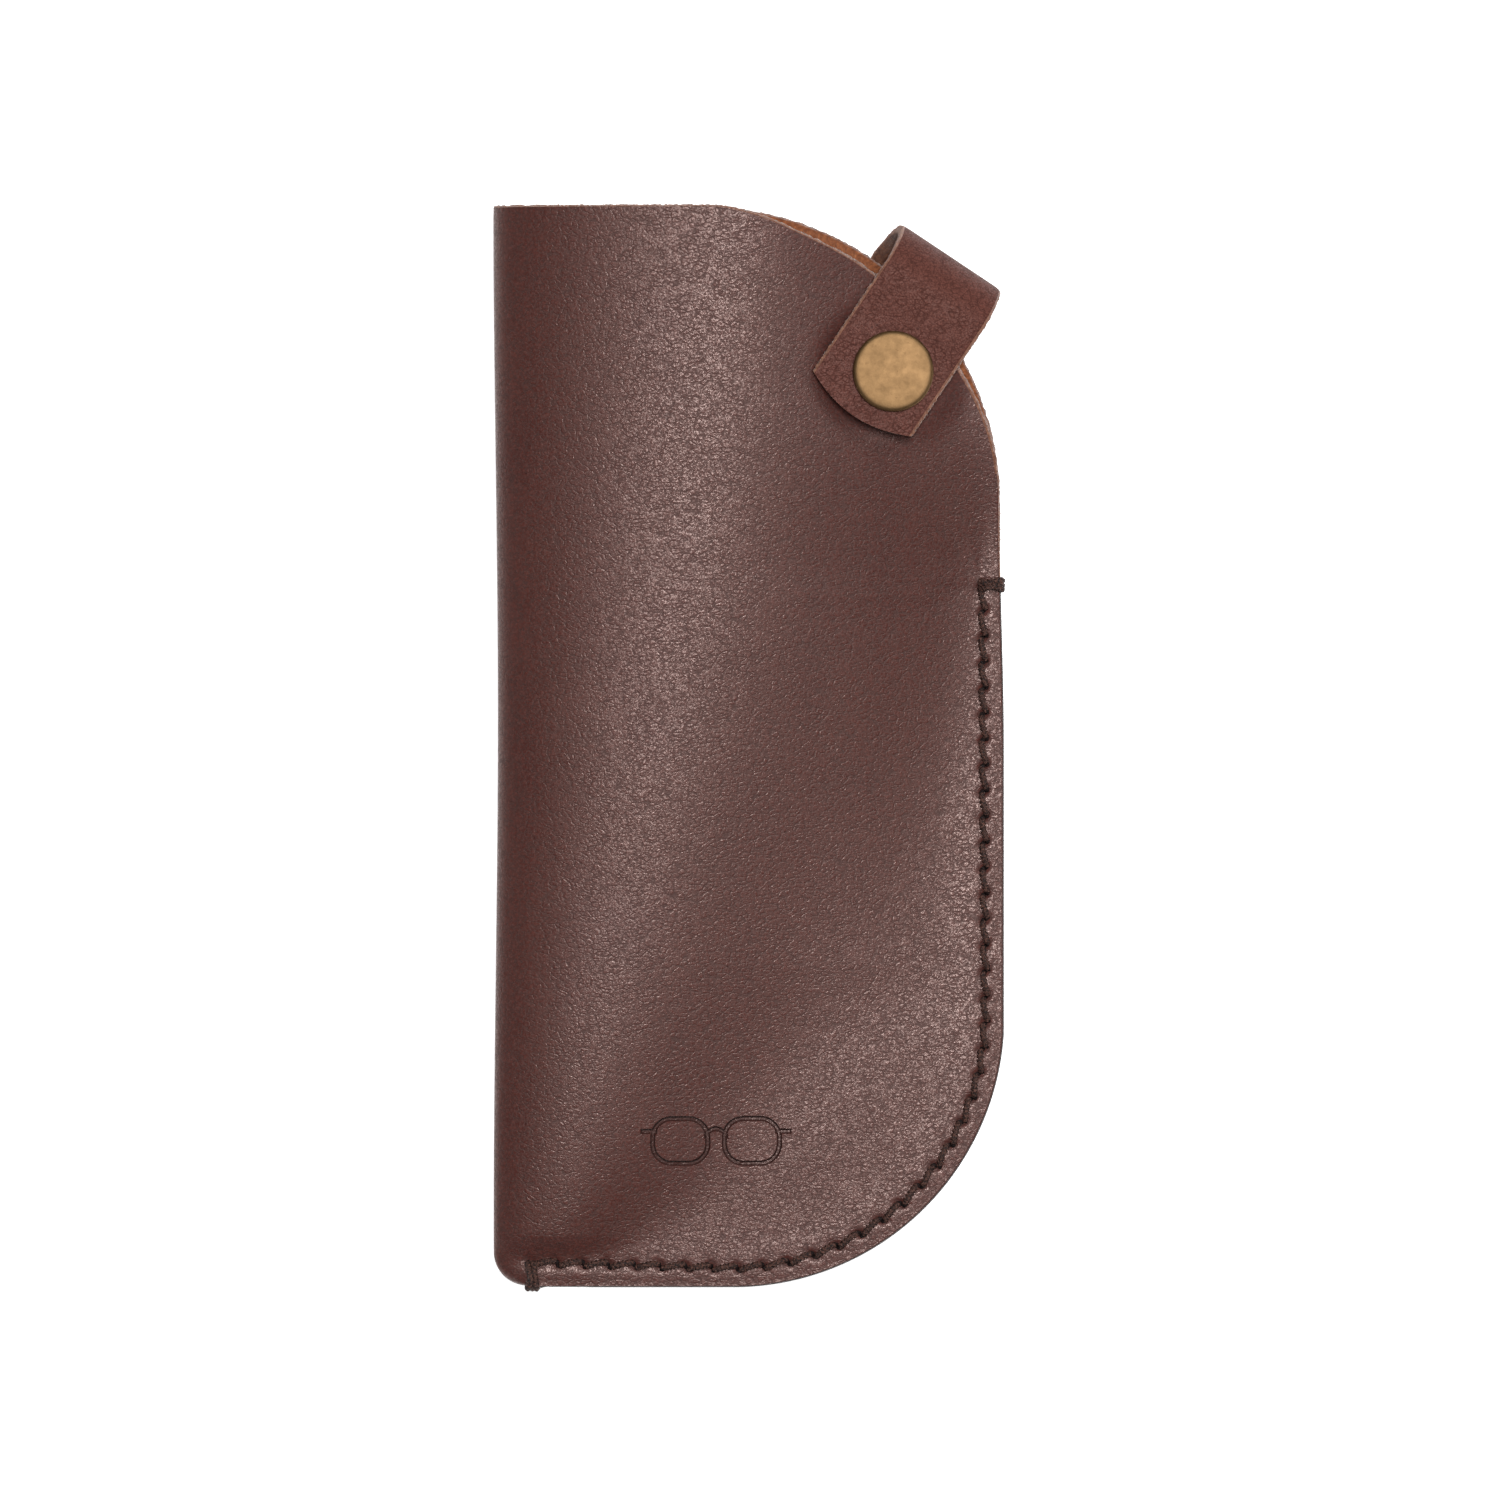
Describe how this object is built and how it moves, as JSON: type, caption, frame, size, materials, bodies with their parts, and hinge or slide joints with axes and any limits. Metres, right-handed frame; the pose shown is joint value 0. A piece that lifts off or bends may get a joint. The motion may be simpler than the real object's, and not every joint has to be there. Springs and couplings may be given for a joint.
{
  "type": "glasses case",
  "caption": "Soft folded-leather glasses sleeve, stitched down one side and the foot, open at the mouth, closed by a corner strap with a snap.",
  "frame": {"origin": "on the flat back, midway across and along the panel's outline", "axes": "+Z out of the front, +Y towards the mouth, +X towards the stitched side"},
  "size_m": [0.0806, 0.1695, 0.0172],
  "materials": {
    "leather": "pebbled, waxed reddish brown, tan at the cut edges",
    "thread": "waxed twisted thread",
    "brass": "antiqued, satin",
    "spring_steel": "bright wire"
  },
  "bodies": {
    "pouch": {"pouch_panel": "leather", "seam_thread_front": "thread", "seam_thread_back": "thread", "mouth_bar_tack": "thread", "foot_bar_tack": "thread", "snap_stud": "brass", "snap_eyelet": "brass", "strap_root": "leather", "rivet_cap": "brass", "rivet_post": "brass"},
    "bend_1": {"strap_bend_1": "leather"},
    "bend_2": {"strap_bend_2": "leather"},
    "bend_3": {"strap_bend_3": "leather"},
    "flap": {"strap_flap": "leather", "snap_cap": "brass", "snap_socket": "brass", "socket_spring": "spring_steel"}
  },
  "joints": [
    {"name": "strap_bend_at_root", "type": "hinge", "parent": "pouch", "child": "bend_1", "pos_m": [0.02976, 0.06913, 0.00115], "axis": [-0.832, 0.5548, 0], "range_deg": [0, 16]},
    {"name": "strap_bend_lower", "type": "hinge", "parent": "bend_1", "child": "bend_2", "pos_m": [0.03318, 0.07427, 0.00471], "axis": [-0.832, 0.5548, 0], "range_deg": [0, 24]},
    {"name": "strap_bend_upper", "type": "hinge", "parent": "bend_2", "child": "bend_3", "pos_m": [0.03318, 0.07427, 0.01184], "axis": [-0.832, 0.5548, 0], "range_deg": [0, 48]},
    {"name": "flap_lift", "type": "hinge", "parent": "bend_3", "child": "flap", "pos_m": [0.02976, 0.06913, 0.0154], "axis": [-0.832, 0.5548, 0], "range_deg": [0, 72]}
  ],
  "couplings": [
    {"joint": "strap_bend_at_root", "follows": "flap_lift", "ratio": 0.2222},
    {"joint": "strap_bend_lower", "follows": "flap_lift", "ratio": 0.3333},
    {"joint": "strap_bend_upper", "follows": "flap_lift", "ratio": 0.6666}
  ]
}
